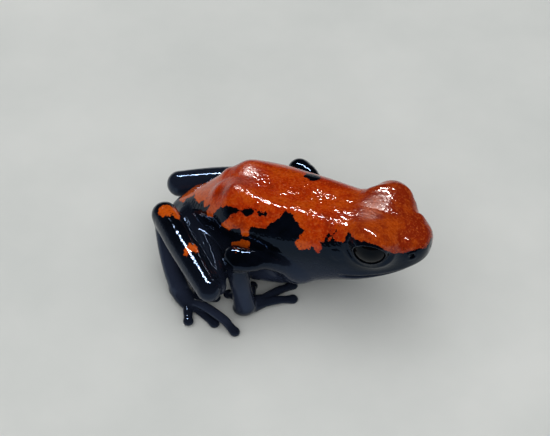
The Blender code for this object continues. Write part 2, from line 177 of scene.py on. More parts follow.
# Joints of the limbs: x, distance out and height. The shin is the shank's end at the knee
JOINTS = {
    "right": {
        "shoulder": (-16.0, 4.9, 5.0), "elbow": (-23.2, 9.35, 9.2), "wrist": (-21.7, 10.0, 1.5),
        "hip": (-32.0, 2.4, 5.7), "knee": (-24.9, 12.2, 6.2), "shin": (-25.0, 14.0, 7.2),
        "heel": (-35.1, 3.8, 7.6), "ankle": (-30.8, 10.1, 1.8),
    },
    "left": {
        "shoulder": (-16.0, 4.9, 5.0), "elbow": (-21.1, 9.4, 8.4), "wrist": (-20.4, 10.0, 1.5),
        "hip": (-32.0, 2.4, 5.5), "knee": (-24.9, 9.7, 3.5), "shin": (-24.5, 10.4, 5.0),
        "heel": (-36.2, 4.2, 5.6), "ankle": (-33.0, 7.8, 1.6),
    },
}
# Shapes of the limbs: share of the length and radius
UPPER_ARM = ((0.0, 1.5), (0.35, 1.15), (0.7, 1.2), (1.0, 1.4))
FOREARM = ((0.0, 1.45), (0.35, 1.42), (0.7, 1.3), (1.0, 1.42))
THIGH = ((0.0, 2.2), (0.3, 2.0), (0.7, 1.75), (1.0, 1.5))
SHANK = ((0.0, 1.6), (0.25, 1.78), (0.6, 1.93), (0.85, 1.85), (1.0, 1.7))
TARSUS = ((0.0, 1.5), (0.35, 1.2), (0.7, 1.15), (1.0, 1.3))
# How far the middle of a limb bows out of line: ahead, outward and up
THIGH_BOW = (0.7, 0.0, 0.15)
ARM_BOW = (0.0, 0.85, 1.5)
TARSUS_BOW = (-0.55, 0.0, -0.8)
# Outer muscle of the bent right upper arm, from the elbow: ahead, outward and up, and its radius
ARM_MUSCLE = ((0.5, 0.75, -0.2, 1.05), (2.3, 0.15, -0.25, 1.0), (4.4, -2.3, -1.2, 0.8))
MUSCLE_BLEND = 0.15
# Blends of the forms that meet at each joint: width away from it, width at it and spread
JOINT_BLENDS = {
    "shoulder": (0.15, 1.6, 4.0), "elbow": (0.15, 0.9, 2.0), "wrist": (0.15, 0.8, 1.6),
    "hip": (0.15, 1.6, 4.0), "knee": (0.12, 1.0, 2.0), "heel": (0.12, 0.9, 1.8),
    "ankle": (0.12, 0.7, 1.6),
}

# Palm, from the wrist: ahead, outward, height above the floor and radius
PALM = ((-0.4, 0.0, 0.95, 1.2), (0.45, -0.95, 0.78, 1.3), (1.3, -1.9, 0.61, 1.1))
PALM_FLATNESS = 1.35
# Where the fingers start, from the wrist: ahead and outward
FINGER_ROOT = (0.4, -0.6)
# Fingers: degrees from straight ahead towards the middle of the body, and reach
FINGERS = {
    "right": ((157.0, 4.4), (104.0, 4.7), (56.0, 7.7), (36.0, 6.6)),
    "left": ((140.0, 5.2), (92.0, 5.0), (52.0, 7.7), (30.0, 6.6)),
}
FINGER_RADIUS = 0.62
FINGER_FLATNESS = 1.3
# Knuckle of a finger: share of its reach, and rise
KNUCKLE = (0.55, 0.1)
# Sole: share of its length and radius
SOLE = ((0.0, 1.3), (0.55, 1.35), (1.0, 1.25))
SOLE_FLATNESS = 1.3
ANKLE_HEIGHT = 1.3
# Feet: x and distance out of the sole's end, then of each toe's tip with the height of its arch
FEET = {
    "right": ((-29.2, 11.2), ((-27.2, 7.6, 0.0), (-26.1, 9.1, 0.1), (-24.6, 13.4, 0.1),
                              (-21.6, 13.9, 1.1), (-27.9, 14.2, 0.1))),
    "left": ((-30.8, 9.2), ((-28.0, 6.0, 0.0), (-25.8, 7.4, 0.1), (-24.0, 9.6, 0.1),
                            (-23.2, 11.9, 0.1), (-26.2, 12.8, 0.0))),
}
TOE_RADIUS = 0.64
TOE_FLATNESS = 1.25
# A toe starts this far out from the sole's end
TOE_ROOT = 0.3
# Bends of a toe, as shares of its length and of its arch. One that steps over its
# neighbour, with an arch over STEP_HEIGHT, bends twice
TOE_BENDS = ((0.5, 1.0),)
STEPPING_BENDS = ((0.35, 1.0), (0.75, 0.9))
STEP_HEIGHT = 1.0
# Fingers and toes: height they start at, radius of the disc at the tip and height of its middle
ROOT_HEIGHT = 0.75
DISC_RADIUS = 0.70
DISC_HEIGHT = 0.398
# Neck behind the disc: distance from the tip, the most that may be of the last joint, thinness
NECK_LENGTH = 1.3
NECK_MOST = 0.4
NECK_THINNESS = 0.93
DIGIT_BLEND = 0.3
FLOOR_BLEND = 0.06

# Distances to the limbs are right up to this one, and stop there
REACH = 1.6
# The grid that the skin is drawn through, on each axis: ends, and bands that are closer set by
# BAND_SHARE. It is first sampled at every COARSE-th point, and in parts that fit in memory
SKIN_GRID = (
    (-38.5, 1.0, ((-9.3, -4.0),)),
    (-17.0, 16.5, ((-6.9, -4.2), (4.2, 6.9))),
    (-0.6, 16.0, ((10.3, 14.6),)),
)
BAND_SHARE = 0.6
COARSE = 4
POINTS_AT_ONCE = 200000
# Points up to this many coarse steps from the skin are sampled exactly
EXACT_REACH = 1.1
# The net's points are moved on to the skin this often, by this share of a step at most
SETTLE_TURNS = 3
SETTLE_SHARE = 0.5
# Squares of slopes below this one count as this one
LEAST_SLOPE = 0.05

# The photo's viewing angle, which is also the plate that the markings are drawn on
VIEW_AZIMUTH = math.radians(20)
VIEW_ELEVATION = math.radians(45)
VIEW_AIM = (-21.15, 0.0, 8.2)
VIEW_DISTANCE = 300.0
VIEW_FIELD = 71.6
SENSOR_WIDTH = 36.0
CLIP_START = 5.0

# Edge of the red back, rump to snout, then round over the top
BACK_EDGE = (
    (-13.08, 2.69), (-12.76, 2.84), (-12.5, 2.41), (-12.11, 2.04), (-11.78, 2.15), (-11.52, 2.6),
    (-11.2, 2.71), (-10.87, 2.84), (-10.67, 2.93), (-10.47, 3.19), (-10.47, 2.73),
    (-10.28, 2.41), (-10.11, 1.98), (-9.83, 1.95), (-9.57, 2.15), (-9.27, 2.28), (-9.35, 1.76),
    (-9.18, 1.37), (-8.85, 1.56), (-8.53, 1.65), (-8.75, 1.17), (-8.85, 0.65), (-8.85, 0.2),
    (-8.46, 0.17), (-8.14, 0.2), (-7.94, 0.65), (-7.62, 1.04), (-7.35, 1.3), (-7.03, 1.5),
    (-6.8, 1.3), (-6.51, 1.5), (-5.99, 1.61), (-5.47, 1.39), (-4.69, 1.22), (-4.43, 0.91),
    (-4.82, 0.74), (-5.47, 0.56), (-5.99, 0.13), (-6.44, -0.33), (-6.96, -0.69), (-7.03, -0.98),
    (-6.7, -1.3), (-6.31, -1.37), (-5.99, -1.69), (-5.73, -1.43), (-5.21, -1.34), (-4.69, -1.34),
    (-4.4, -1.5), (-4.43, -1.95), (-4.32, -2.34), (-3.91, -2.42), (-3.45, -2.28), (-3.44, -1.69),
    (-3.25, -1.24), (-2.99, -1.04), (-2.47, -1.17), (-1.69, -1.33), (-1.17, -1.3),
    (-0.78, -0.82), (-0.13, -0.39), (0.33, -0.13), (0.78, 0.16), (1.17, 0.78), (1.48, 1.02),
    (1.72, 0.62), (2.08, 0.72), (2.34, 0.39), (2.51, -0.13), (2.86, -0.46), (3.15, -0.91),
    (3.51, -1.43), (3.85, -1.56), (3.42, -2.08), (3.06, -2.54), (2.73, -2.99), (2.58, -3.38),
    (2.84, -3.94), (3.16, -4.2), (3.55, -4.11), (3.83, -4.27), (4.1, -3.98), (4.46, -4.11),
    (4.75, -3.78), (4.99, -3.84), (5.21, -4.17), (5.53, -4.5), (5.83, -4.58), (5.9, -4.14),
    (6.25, -4.07), (6.03, -3.58), (5.94, -3.23), (6.4, -2.99), (6.68, -2.47), (6.98, -1.9),
    (7.19, -2.34), (6.77, -2.89), (6.94, -3.1), (7.29, -2.73), (7.46, -2.21), (7.75, -1.73),
    (8.07, -1.43), (7.9, -1.95), (7.58, -2.45), (7.81, -2.86), (8.23, -3.12), (8.72, -3.15),
    (9.11, -2.94), (9.27, -2.34), (9.45, -1.85), (9.79, -2.08), (10.15, -2.47), (10.61, -2.82),
    (11.06, -2.99), (11.85, -3.07), (12.5, -3.33), (13.28, -3.5), (13.93, -3.85), (14.58, -4.24),
    (15.1, -4.5), (15.88, -4.58), (16.66, -4.58), (17.44, -4.32), (18.09, -4.09), (18.88, -4.04),
    (19.53, -3.93), (19.79, -3.54), (20.18, -3.29), (20.26, -2.6), (20.18, -1.95),
    (20.57, -2.34), (24, 2), (24, 20), (-20, 20), (-20, 2.7),
)
# Dark spots within the red
DARK_BAND = (
    (-4.43, 0.85), (-4.13, 1.02), (-3.78, 1.22), (-3.09, 1.26), (-2.71, 0.91), (-2.95, 0.44),
    (-3.38, 0.22), (-3.91, 0.26), (-4.26, 0.52),
)
DARK_ISLET = (
    (-2.27, 0.78), (-2.02, 0.89), (-1.82, 0.65), (-1.5, 0.61), (-1.24, 0.81), (-1.02, 0.59),
    (-1.17, 0.39), (-1.37, 0.16), (-1.63, 0.39), (-2.02, 0.23), (-2.11, 0.55),
)

# Red patches of the right leg, on the heel and on the shank
LIMB_PATCHES = (
    ((-15.2, 1.3), (-14.5, 1.75), (-13.7, 1.6), (-12.9, 1.2), (-12.4, 0.6), (-12.45, -0.15),
     (-13.1, 0.05), (-13.4, 0.6), (-13.7, 0.15), (-14.2, 0.35), (-14.6, 0.1), (-15.1, 0.4)),
    ((-11.5, -3.6), (-11.05, -3.3), (-10.75, -3.6), (-10.4, -3.35), (-10.15, -3.9),
     (-10.0, -4.45), (-10.3, -4.6), (-10.7, -4.35), (-11.1, -4.6), (-11.5, -5.05),
     (-11.9, -4.85), (-11.75, -4.45), (-12.1, -4.3), (-11.8, -4.0)),
)
# Red patch of the right flank above the elbow
FLANK_PATCH = (
    (-5.6, -3.3), (-5.2, -3.05), (-4.6, -3.0), (-4.3, -2.75), (-4.0, -3.0), (-3.6, -2.95),
    (-3.2, -3.15), (-3.3, -3.6), (-3.6, -4.3), (-4.9, -4.6), (-5.6, -3.9),
)
# Spots that the photo's view doesn't reach: x, y, z and radius
SPOTS = ((-31.0, 9.2, 4.8, 1.1), (-21.2, 11.0, 8.2, 0.9))
# Dark notch in the red by the left shoulder: x, y, z and radius, and how it is drawn out
DARK_NOTCH = (-17.2, 3.35, 13.8, 0.9)
NOTCH_STRETCH = (0.8, 1, 1)
# Duller, coarse skin between the lids and on the rump: x, distance out, radius, how dull
DULL_SKIN = ((-8.0, 1.0, 1.6, 1.0), (-25.6, 1.1, 2.2, 0.6))
DULL_HEIGHT = (11.0, 12.0)
# The left flank's red edge lies this far below the right one's, from this far left of the middle
LEFT_EDGE_DROP = 2.3
LEFT_EDGE_START = 2.0
RIGHT_SIDE_END = 1.0
# Red goes this far on to a limb where it leaves the body, and is kept off it only this near it
RED_ON_LIMB = 0.7
LIMB_REACH = 1.0
# The leg's patches go this far past its joins and this deep, and the flank's clears the arm
PATCH_MARGIN = 0.4
PATCH_DEPTH = 0.8
FLANK_CLEARANCE = 0.1
# Shades of the skin, each from where it starts to where it is full
HEAD_RED_X = (-13.0, -8.0)
FLANK_RED_HEIGHT = (12.8, 9.8)
FLANK_RED_X = (-13.0, -16.0)
# Painted reflection of the pale floor on the black of the lower parts, from where it starts to
# where it is full
FLOOR_SHEEN_HEIGHT = (9.5, 4.5)
# The painted reflection of the floor fades on toes and fingers lying on the floor, which stay
# darker
TOE_SHEEN_HEIGHT = (0.3, 2.0)
TOE_SHEEN_SHARE = 0.45
# Coarse granules of the middle of the back and of its folds
GRANULAR_WIDTH = 3.4
GRANULAR_HEIGHT = (11.0, 13.0)
GRANULAR_X = (-29.0, -25.0)
FOLD_GRANULES = 4
MOST_GRANULAR = 1.6
# Distances from the edge of the red are kept up to this one
MARK_REACH = 2.0
MARKS = ("red_mark", "deep_red", "yellow_red", "granular", "floor_sheen", "dull")

FLOOR_SIZE = 3000.0
# The lamp hangs this far from the frog, tilted this many degrees, and this far behind its middle
LAMP_HEIGHT = 420.0
LAMP_TILT = 28.0
LAMP_BACK = 90.0
# Watts for each 1000 square millimetres
LAMP_POWER = 0.6
# Bars of the lamp: name, place along and across the frog, length and width, brightness
LAMP_BARS = (
    ("lamp_near", 0.0, -34.0, (300.0, 25.0), 1.0),
    ("lamp_front", 142.0, 0.0, (16.0, 50.0), 0.04),
)
# Soft lights that give no glints: name, place about the frog, size and power
SOFT_LIGHTS = (
    ("key", (-90.0, 197.0, 371.0), 330.0, 0.3), ("sky", (0.0, 0.0, 420.0), 1600.0, 6.1),
    ("front", (150.0, -420.0, 190.0), 600.0, 1.1),
)
ROOM_COLOUR = "#0c0d10"
# Low light in the room: colour, strength on the far and left side, and towards the camera
HORIZON_COLOUR = "#b9c4d2"
HORIZON_FAR = 0.4
HORIZON_NEAR = 0.10
# Direction of its near side, how far round it changes, and how high up it ends
HORIZON_SIDE = (0.7, -0.7, 0.0)
HORIZON_TURN = (0.25, -0.15)
HORIZON_TOP = (0.24, 0.06)
STONE_CLOUD = "#dcdedb"


def catmull_rom(rows, t):
    """Rows of numbers joined by a smooth curve, at each t from 0 to their number less one."""
    rows = np.asarray(rows, float)
    last = len(rows) - 1
    i = np.minimum(np.floor(t).astype(int), last - 1)
    f = (t - i)[:, None]
    a, b = rows[np.maximum(i - 1, 0)], rows[i]
    c, d = rows[i + 1], rows[np.minimum(i + 2, last)]
    return 0.5 * (2 * b + (c - a) * f + (2 * a - 5 * b + 4 * c - d) * f ** 2
                  + (3 * b - a - 3 * c + d) * f ** 3)


PLACES = np.linspace(0, len(BODY_SECTIONS) - 1, SECTION_COUNT)
BODY_TABLE = catmull_rom(BODY_SECTIONS, PLACES)[::-1]
BODY_TABLE = BODY_TABLE[np.argsort(BODY_TABLE[:, 0])]


def section(x):
    """Half width, top, bottom, widest height and squareness of the trunk at each x."""
    return [np.interp(x, BODY_TABLE[:, 0], BODY_TABLE[:, k]) for k in range(1, 7)]


def soft_min(a, b, width):
    near = np.maximum(width - np.abs(a - b), 0) / width
    return np.minimum(a, b) - near * near * width / 4


def soft_max(a, b, width):
    return -soft_min(-a, -b, width)


def bump(far, spread):
    return np.exp(-(far / spread) ** 2)


def between(value, start, end):
    """How far a value is from start to end, as a share from 0 to 1."""
    return np.clip((value - start) / (end - start), 0, 1)


def eased(share):
    return share * share * (3 - 2 * share)


def fold_height(x, y):
    """Rise of the folds along the back, which are fainter on the left."""
    found = 0
    for rear, rear_out, front, front_out, rise, spread in BACK_FOLDS:
        share = (x - rear) / (front - rear)
        ends = between(x, rear, rear + 1) * between(x, front, front - 1)
        off = np.abs(y) - rear_out - (front_out - rear_out) * share
        found = found + rise * ends * bump(off, spread)
    return found * np.where(y < 0, 1, LEFT_FOLD_SHARE)


def trunk_distance(p):
    """Distance to the bare trunk and head, without limbs or eyes."""
    x, y, z = p.T
    inner = np.clip(x, BODY_TABLE[0, 0] + END_INSET, BODY_TABLE[-1, 0] - END_INSET)
    half, top, bottom, wide, above, below = section(inner)
    half = np.maximum(half, THIN)
    lift = sum(rise * np.exp(-((x - kx) / along) ** 2 / 2 - ((np.abs(y) - out) / across) ** 2 / 2)
               for kx, out, rise, along, across in KNOBS)
    lift = lift + fold_height(x, y)
    z = z - lift * between(z - wide, 0, LIFT_START)
    up = z > wide
    tall = np.maximum(np.where(up, top - wide, wide - bottom), THIN)
    power = np.where(up, above, below)
    u, v = np.abs(y) / half, np.abs(z - wide) / tall
    size = (u ** power + v ** power) ** (1 / power) + TINY
    slope = np.hypot((u / size) ** (power - 1) / half, (v / size) ** (power - 1) / tall)
    flat = (size - 1) / np.maximum(slope, TINY)
    past = np.abs(x - inner)
    return np.where(past > 0, np.hypot(np.maximum(flat, 0), past), flat)


def eye_frame(side):
    centre = np.array((EYE_CENTRE[0], side * EYE_CENTRE[1], EYE_CENTRE[2]))
    axis = Vector((EYE_AXIS[0], side * EYE_AXIS[1], EYE_AXIS[2])).normalized()
    along = (Vector((0, 0, 1)).cross(axis) * -side).normalized()
    up = axis.cross(along) * -side
    return centre, np.array(axis), np.array(along), np.array(up)


def brow_distance(q, side):
    """Distance to the long dome of the upper lid, from points about the eye's centre."""
    ahead = np.array(BROW_AXIS) * (1, side, 1)
    out = np.array((-side * ahead[1], side * ahead[0], 0))
    spread = np.stack([q @ ahead, q @ out, q[:, 2]], 1) / BROW_RADII
    size = np.linalg.norm(spread, axis=1) + TINY
    slope = np.linalg.norm(spread / BROW_RADII, axis=1) / size
    return (size - 1) / slope


def add_lids(p, skin, side):
    """Raises the domed lids round one eye and opens them over the eyeball."""
    centre, axis, along, up = eye_frame(side)
    q = p - centre
    a, b, depth = q @ along, q @ up, q @ axis
    cap = np.linalg.norm(q + axis * EYE_SET_BACK, axis=1) - EYE_CAP
    skin = soft_min(skin, brow_distance(q + axis * BROW_SET_BACK, side), LID_BLEND)
    crest = [(x, side * out, z, radius) for x, out, z, radius in BROW_CREST]
    skin = soft_min(skin, chain_distance(p, smoothed(crest, steps=14)), CREST_BLEND)
    tall = EYE_OPENING[1] * np.where(b > 0, UPPER_OPENING, 1.0)
    ring = np.hypot(a / EYE_OPENING[0], b / tall)
    off = (ring - 1) * (np.hypot(a, b) + TINY) / np.maximum(ring, LEAST_RING)
    front = depth > RELIEF_DEPTH
    # The lids lie close on the eyeball, thin below it and thick above it
    over = between(b, *LID_TURN)
    close = eased(between(off, *LID_REACH) * front)
    skin = skin + (cap - np.interp(over, (0, 1), LID_THICKNESS) - skin) * close
    rim = np.hypot(off - RIM_OFF, cap - np.interp(over, (0, 1), RIM_HEIGHT)) - LID_RIM
    skin = np.where(front, soft_min(skin, rim, RIM_BLEND), skin)
    # A second soft fold follows the lower lid and sinks away past the corners of the eye
    radius, away, deep = LOWER_FOLD
    sink = FOLD_SINK * between(b, FOLD_SINK_START, 0)
    fold = np.hypot(off - away, cap + deep) - radius + sink
    skin = np.where(front, soft_min(skin, fold, FOLD_BLEND), skin)
    column = np.maximum(off, OPENING_DEPTH - depth)
    ball = np.linalg.norm(q, axis=1) - EYE_RADIUS
    return soft_max(skin, -np.minimum(ball, column), OPENING_BLEND)


def mouth_height(x):
    share = between(x, 0, MOUTH_CORNER_X) ** MOUTH_CURVE
    return MOUTH_HEIGHT_SNOUT + (MOUTH_HEIGHT_CORNER - MOUTH_HEIGHT_SNOUT) * share


def grooves(far, rows):
    return sum(depth * bump(far - off, spread) for off, depth, spread in rows)


def face_relief(p):
    """How far the mouth line, lips, nostrils and eardrums lie below the smooth skin."""
    x, _, z = p.T
    gape = between(x, MOUTH_CORNER_X, MOUTH_CORNER_X + MOUTH_FADE)
    relief = gape * grooves(z - mouth_height(x), MOUTH_GROOVES)
    relief += grooves(np.hypot(x - NOSTRIL[0], z - NOSTRIL[1]), NOSTRIL_GROOVES)
    relief += grooves(np.hypot(x - EARDRUM[0], z - EARDRUM[1]), EARDRUM_GROOVES)
    return relief * (x > FACE_END_X)


def chain_distance(p, stations, flat=1.0):
    """Distance to a chain of tapered tubes through stations of (x, y, z, radius), which are
    lower than they are wide where flat is over 1."""
    stations = np.asarray(stations, float)
    reach = stations[:, 3].max() + REACH
    low, high = stations[:, :3].min(0) - reach, stations[:, :3].max(0) + reach
    near = np.all((p > low) & (p < high), axis=1)
    found = np.full(len(p), REACH)
    q = p[near]
    if not len(q):
        return found
    best = np.full(len(q), np.inf)
    for first, second in zip(stations, stations[1:]):
        run = second[:3] - first[:3]
        t = np.clip((q - first[:3]) @ run / (run @ run), 0, 1)
        off = q - first[:3] - t[:, None] * run
        off[:, 2] *= flat
        best = np.minimum(best, np.linalg.norm(off, axis=1) - first[3] - (second[3] - first[3]) * t)
    found[near] = np.minimum(best, REACH)
    return found


def smoothed(stations, steps):
    rows = np.asarray(stations, float)
    return catmull_rom(rows, np.linspace(0, len(rows) - 1, steps))


def limb(side, start, end, profile, bow=(0.0, 0.0, 0.0)):
    """Stations along a limb between two joints, its middle out of line by bow."""
    rows = []
    for share, radius in profile:
        bend = 4 * share * (1 - share)
        x, out, z = (a + (b - a) * share + c * bend for a, b, c in zip(start, end, bow))
        rows.append((x, side * out, z, radius))
    return smoothed(rows, steps=12)


def digit(path, radius):
    """Stations of a finger or toe whose tip is a disc."""
    tip, joint = np.array(path[-1]), np.array(path[-2])
    neck = tip + (joint - tip) * min(NECK_LENGTH / np.linalg.norm(tip - joint), NECK_MOST)
    rows = [(*place, radius) for place in path[:-1]]
    rows += [(*neck, radius * NECK_THINNESS), (*tip, DISC_RADIUS)]
    return smoothed(rows, steps=14)


def hand_chains(side, wrist, fingers):
    """Palm and fingers, each as its stations and flatness."""
    palm = [(wrist[0] + ahead, side * (wrist[1] + out), height, radius)
            for ahead, out, height, radius in PALM]
    chains = [(smoothed(palm, steps=6), PALM_FLATNESS)]
    root = np.array((wrist[0] + FINGER_ROOT[0], side * (wrist[1] + FINGER_ROOT[1]), ROOT_HEIGHT))
    for turn, reach in fingers:
        angle = math.radians(turn)
        ahead = np.array((math.cos(angle), -side * math.sin(angle), 0))
        knuckle = root + ahead * reach * KNUCKLE[0] + (0, 0, KNUCKLE[1])
        tip = root + ahead * (reach - DISC_RADIUS)
        tip[2] = DISC_HEIGHT
        chains.append((digit((root, knuckle, tip), FINGER_RADIUS), FINGER_FLATNESS))
    return chains


def foot_chains(side, ankle, ball, toes):
    """Sole and toes, each as its stations and flatness."""
    start = np.array((ankle[0], side * ankle[1], ANKLE_HEIGHT))
    end = np.array((ball[0], side * ball[1], ROOT_HEIGHT))
    sole = [(*(start + (end - start) * share), radius) for share, radius in SOLE]
    chains = [(smoothed(sole, steps=6), SOLE_FLATNESS)]
    for x, out, arch in toes:
        tip = np.array((x, side * out, DISC_HEIGHT))
        root = end + (tip - end) / np.linalg.norm(tip - end) * TOE_ROOT
        bends = STEPPING_BENDS if arch > STEP_HEIGHT else TOE_BENDS
        middle = [root + (tip - root) * share + (0, 0, rise * arch) for share, rise in bends]
        chains.append((digit((root, *middle, tip), TOE_RADIUS), TOE_FLATNESS))
    return chains


def digits_distance(p, chains):
    found = chain_distance(p, *chains[0])
    for chain in chains[1:]:
        found = soft_min(found, chain_distance(p, *chain), DIGIT_BLEND)
    return found


def on_side(joint, side):
    return np.array((joint[0], side * joint[1], joint[2]))


def joined(p, first, second, joint, side, name):
    """Two forms that meet at a joint, blended widely at it and hardly at all away from it."""
    least, most, spread = JOINT_BLENDS[joint]
    far = np.linalg.norm(p - on_side(JOINTS[name][joint], side), axis=1)
    return soft_min(first, second, least + (most - least) * bump(far, spread))


def limbs_distance(p, side, name):
    """Distance to one side's arm and to its leg."""
    j = JOINTS[name]
    arm = chain_distance(p, limb(side, j["shoulder"], j["elbow"], UPPER_ARM, ARM_BOW))
    if name == "right":
        muscle = [(*on_side([a + b for a, b in zip(j["elbow"], place)], side), radius)
                  for *place, radius in ARM_MUSCLE]
        arm = soft_min(arm, chain_distance(p, smoothed(muscle, steps=8)), MUSCLE_BLEND)
    forearm = chain_distance(p, limb(side, j["elbow"], j["wrist"], FOREARM))
    hand = digits_distance(p, hand_chains(side, j["wrist"], FINGERS[name]))
    arm = joined(p, arm, forearm, "elbow", side, name)
    arm = joined(p, arm, hand, "wrist", side, name)
    leg = chain_distance(p, limb(side, j["hip"], j["knee"], THIGH, THIGH_BOW))
    shank = chain_distance(p, limb(side, j["shin"], j["heel"], SHANK))
    tarsus = chain_distance(p, limb(side, j["heel"], j["ankle"], TARSUS, TARSUS_BOW))
    foot = digits_distance(p, foot_chains(side, j["ankle"], *FEET[name]))
    leg = joined(p, leg, shank, "knee", side, name)
    leg = joined(p, leg, tarsus, "heel", side, name)
    leg = joined(p, leg, foot, "ankle", side, name)
    return arm, leg


def frog_distance(p):
    """Distance from each point to the frog's skin, negative inside."""
    skin = trunk_distance(p)
    for side in (1, -1):
        skin = add_lids(p, skin, side)
    skin = skin + face_relief(p)
    for side, name in ((1, "left"), (-1, "right")):
        arm, leg = limbs_distance(p, side, name)
        skin = joined(p, skin, arm, "shoulder", side, name)
        skin = joined(p, skin, leg, "hip", side, name)
    # The frog is flat where it rests on the floor
    return soft_max(skin, -p[:, 2], FLOOR_BLEND)


def spaced(low, high, step, bands):
    """Places from low to high, a step apart and closer in the bands, in whole coarse steps."""
    places = [low]
    while places[-1] < high or len(places) % COARSE != 1:
        dense = any(a < places[-1] < b for a, b in bands)
        places.append(places[-1] + step * (BAND_SHARE if dense else 1.0))
    return np.array(places)


def sample_grid(axes):
    """Distances on a grid, exact near the skin and coarse away from it."""
    rough = [axis[::COARSE] for axis in axes]
    nodes = np.stack(np.meshgrid(*rough, indexing="ij"), -1).reshape(-1, 3)
    field = frog_distance(nodes).reshape([len(axis) for axis in rough])
    for k, axis in enumerate(axes):
        place = np.arange(len(axis)) / COARSE
        left = np.minimum(place.astype(int), len(rough[k]) - 2)
        share = (place - left).reshape([-1 if n == k else 1 for n in range(3)])
        field = np.take(field, left, k) * (1 - share) + np.take(field, left + 1, k) * share
    reach = EXACT_REACH * COARSE * max(np.diff(axis).max() for axis in axes)
    picked = np.argwhere(np.abs(field) < reach)
    for part in np.array_split(picked, max(1, len(picked) // POINTS_AT_ONCE)):
        points = np.stack([axes[k][part[:, k]] for k in range(3)], 1)
        field[tuple(part.T)] = frog_distance(points)
    return field


def surface_nets(field, axes):
    """Quads over the zero surface of a grid of distances, one corner to each crossed cell."""
    inside = field < 0
    shape = np.array(field.shape) - 1
    corners = [(i, j, k) for i in (0, 1) for j in (0, 1) for k in (0, 1)]
    count = sum(inside[i:i + shape[0], j:j + shape[1], k:k + shape[2]].astype(np.int8)
                for i, j, k in corners)
    cells = np.argwhere((count > 0) & (count < 8))
    label = np.full(shape, -1)
    label[tuple(cells.T)] = np.arange(len(cells))
    total, hits = np.zeros((len(cells), 3)), np.zeros(len(cells))
    for first in corners:
        for axis in range(3):
            if first[axis]:
                continue
            second = tuple(c + (k == axis) for k, c in enumerate(first))
            fa = field[tuple((cells + first).T)]
            fb = field[tuple((cells + second).T)]
            cross = (fa < 0) != (fb < 0)
            share = np.where(cross, fa / np.where(cross, fa - fb, 1), 0)
            point = cells + np.array(first) + share[:, None] * (np.array(second) - first)
            total += point * cross[:, None]
            hits += cross
    index = total / hits[:, None]
    points = np.stack([np.interp(index[:, k], np.arange(len(axis)), axis)
                       for k, axis in enumerate(axes)], 1)
    quads = []
    for axis in range(3):
        u, v = (axis + 1) % 3, (axis + 2) % 3
        ahead = np.take(inside, range(1, field.shape[axis]), axis)
        behind = np.take(inside, range(field.shape[axis] - 1), axis)
        edges = np.argwhere(ahead != behind)
        edges = edges[(edges[:, u] > 0) & (edges[:, v] > 0)
                      & (edges[:, u] < shape[u]) & (edges[:, v] < shape[v])]
        outward = behind[tuple(edges.T)]
        du, dv = np.eye(3, dtype=int)[u], np.eye(3, dtype=int)[v]
        ring = [label[tuple((edges - shift).T)] for shift in (du + dv, dv, du * 0, du)]
        quad = np.stack(ring, 1)
        quad[~outward] = quad[~outward][:, ::-1]
        quads.append(quad)
    return points, np.concatenate(quads)


def slope_of(points):
    """Distance and its slope at each point."""
    here, nudge = frog_distance(points), 0.02
    slope = np.stack([(frog_distance(points + np.eye(3)[k] * nudge) - here) / nudge
                      for k in range(3)], 1)
    return here, slope


def settle(points, step):
    """Moves points of the net exactly on to the skin, by little each time."""
    for _ in range(SETTLE_TURNS):
        here, slope = slope_of(points)
        move = -(here / np.maximum((slope ** 2).sum(1), LEAST_SLOPE))[:, None] * slope
        size = np.linalg.norm(move, axis=1, keepdims=True)
        most = SETTLE_SHARE * step
        points = points + move * np.minimum(1, most / np.maximum(size, TINY))
    return points


def mesh_object(name, points, faces):
    mesh = bpy.data.meshes.new(name)
    mesh.from_pydata([tuple(p) for p in points * MM + np.array(ORIGIN)], [], faces)
    mesh.validate()
    mesh.shade_smooth()
    made = bpy.data.objects.new(name, mesh)
    bpy.context.scene.collection.objects.link(made)
    return made


def view_axes():
    """Right, up and back directions of the photo's view."""
    flat = math.cos(VIEW_ELEVATION)
    back = Vector((math.sin(VIEW_AZIMUTH) * flat, -math.cos(VIEW_AZIMUTH) * flat,
                   math.sin(VIEW_ELEVATION)))
    right = Vector((0, 0, 1)).cross(back).normalized()
    return right, back.cross(right), back


def on_plate(points):
    """Where points fall on the plate, once those of the left side are mirrored to the right."""
    right, up, back = (np.array(axis) for axis in view_axes())
    mirrored = np.stack([points[:, 0], -np.abs(points[:, 1]), points[:, 2]], 1)
    off = mirrored - np.array(VIEW_AIM) - back * VIEW_DISTANCE
    scale = VIEW_DISTANCE / -(off @ back)
    return np.stack([off @ right * scale, off @ up * scale], 1)


def inside_distance(points, outline):
    """Distance of points on the plate from an outline, positive inside."""
    corners = np.asarray(outline, float)
    best = np.full(len(points), np.inf)
    inside = np.zeros(len(points), bool)
    for a, b in zip(corners, np.roll(corners, -1, 0)):
        run = b - a
        t = np.clip((points - a) @ run / (run @ run), 0, 1)
        best = np.minimum(best, np.linalg.norm(points - a - t[:, None] * run, axis=1))
        crosses = (a[1] > points[:, 1]) != (b[1] > points[:, 1])
        reach = a[0] + (points[:, 1] - a[1]) * run[0] / (run[1] or TINY)
        inside ^= crosses & (points[:, 0] < reach)
    return np.where(inside, best, -best)


